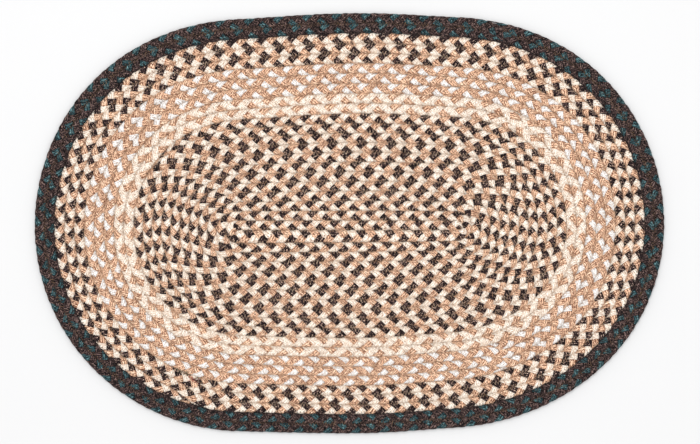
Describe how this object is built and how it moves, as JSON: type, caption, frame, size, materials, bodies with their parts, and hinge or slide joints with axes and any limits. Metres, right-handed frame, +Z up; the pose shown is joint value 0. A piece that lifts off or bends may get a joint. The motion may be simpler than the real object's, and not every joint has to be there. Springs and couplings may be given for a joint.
{
  "type": "braided rug",
  "caption": "Flat oval rug, coiled from a flat jute braid and sewn lap to lap, with a dark border and checked and plain bands.",
  "frame": {"origin": "middle of the underside of the rug's box", "axes": "+X along the rug's long side, +Y towards the picture's top edge, +Z up out of the rug"},
  "size_m": [0.762, 0.5076, 0.008],
  "materials": {
    "checked_jute": "matte black, cream and tan jute braid",
    "cream_tan_jute": "matte cream and tan jute braid",
    "tan_white_jute": "matte tan and white jute braid",
    "brown_teal_jute": "matte dark brown and teal jute braid",
    "tan_yarn": "matte jute yarn",
    "cream_yarn": "matte jute yarn",
    "white_yarn": "matte jute yarn",
    "black_yarn": "matte jute yarn",
    "brown_yarn": "matte jute yarn",
    "teal_yarn": "matte jute yarn",
    "tan_thread": "sewing thread",
    "brown_thread": "sewing thread"
  },
  "bodies": {
    "root": {"braid_centre": "checked_jute", "braid_cream_band": "cream_tan_jute", "braid_tan_band": "tan_white_jute", "braid_checked_band": "checked_jute", "braid_border": "brown_teal_jute"}
  },
  "joints": []
}
